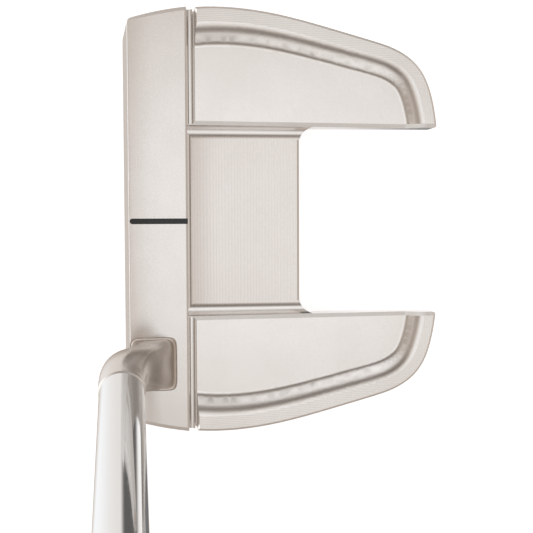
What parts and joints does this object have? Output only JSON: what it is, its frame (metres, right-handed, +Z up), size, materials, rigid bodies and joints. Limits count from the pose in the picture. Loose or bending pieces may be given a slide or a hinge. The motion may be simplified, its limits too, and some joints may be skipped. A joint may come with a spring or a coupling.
{
  "type": "mallet putter",
  "caption": "Right-handed mallet putter with a steel face bar, a winged rear frame, a slanted flow neck, a steel shaft and a rubber grip.",
  "frame": {"origin": "on the sole plane, in the middle of the flat land in front of the rear frame's tongue, 3.8 mm behind the middle of the face's leading edge", "axes": "+X from toe to heel (towards the player), +Y from the face to the back of the head, +Z up; the putter stands at address on its sole, with the shaft leaning towards +X at the lie angle"},
  "size_m": [0.3765, 0.0944, 0.8152],
  "materials": {
    "satin_steel": "bead-blasted satin with a warm nickel tone",
    "blasted_aluminium": "bead-blasted satin over fine milling marks",
    "sight_paint": "black paint fill",
    "screw_steel": "turned",
    "weight_steel": "turned and polished",
    "shaft_chrome": "bright chrome plate",
    "epoxy": "cured adhesive",
    "band_film": "plain printed film",
    "tape": "adhesive paper tape",
    "grip_rubber": "matte moulded rubber",
    "cap_plastic": "moulded"
  },
  "bodies": {
    "root": {"front_bar": "satin_steel", "rear_frame": "blasted_aluminium", "sight_line_fill": "sight_paint", "frame_screws": "screw_steel", "neck": "satin_steel", "shaft": "shaft_chrome", "shaft_epoxy": "epoxy", "shaft_band": "band_film", "grip_tape": "tape", "grip": "grip_rubber", "grip_cap": "cap_plastic"},
    "toe_weight": {"toe_weight": "weight_steel"},
    "toe_weight_screw": {"toe_weight_screw": "screw_steel"},
    "heel_weight": {"heel_weight": "weight_steel"},
    "heel_weight_screw": {"heel_weight_screw": "screw_steel"}
  },
  "joints": [
    {"name": "toe_weight_slide", "type": "slide", "parent": "root", "child": "toe_weight", "axis": [0, 0, -1], "range_m": [0, 0.007]},
    {"name": "toe_screw_turn", "type": "hinge", "parent": "toe_weight", "child": "toe_weight_screw", "pos_m": [-0.0365, 0.00415, 0], "axis": [0, 0, -1], "range_deg": [0, 3601]},
    {"name": "heel_weight_slide", "type": "slide", "parent": "root", "child": "heel_weight", "axis": [0, 0, -1], "range_m": [0, 0.007]},
    {"name": "heel_screw_turn", "type": "hinge", "parent": "heel_weight", "child": "heel_weight_screw", "pos_m": [0.0365, 0.00415, 0], "axis": [0, 0, -1], "range_deg": [0, 3601]}
  ],
  "couplings": [
    {"joint": "toe_screw_turn", "follows": "toe_weight_slide", "rad_per_m": 8976},
    {"joint": "heel_screw_turn", "follows": "heel_weight_slide", "rad_per_m": 8976}
  ]
}
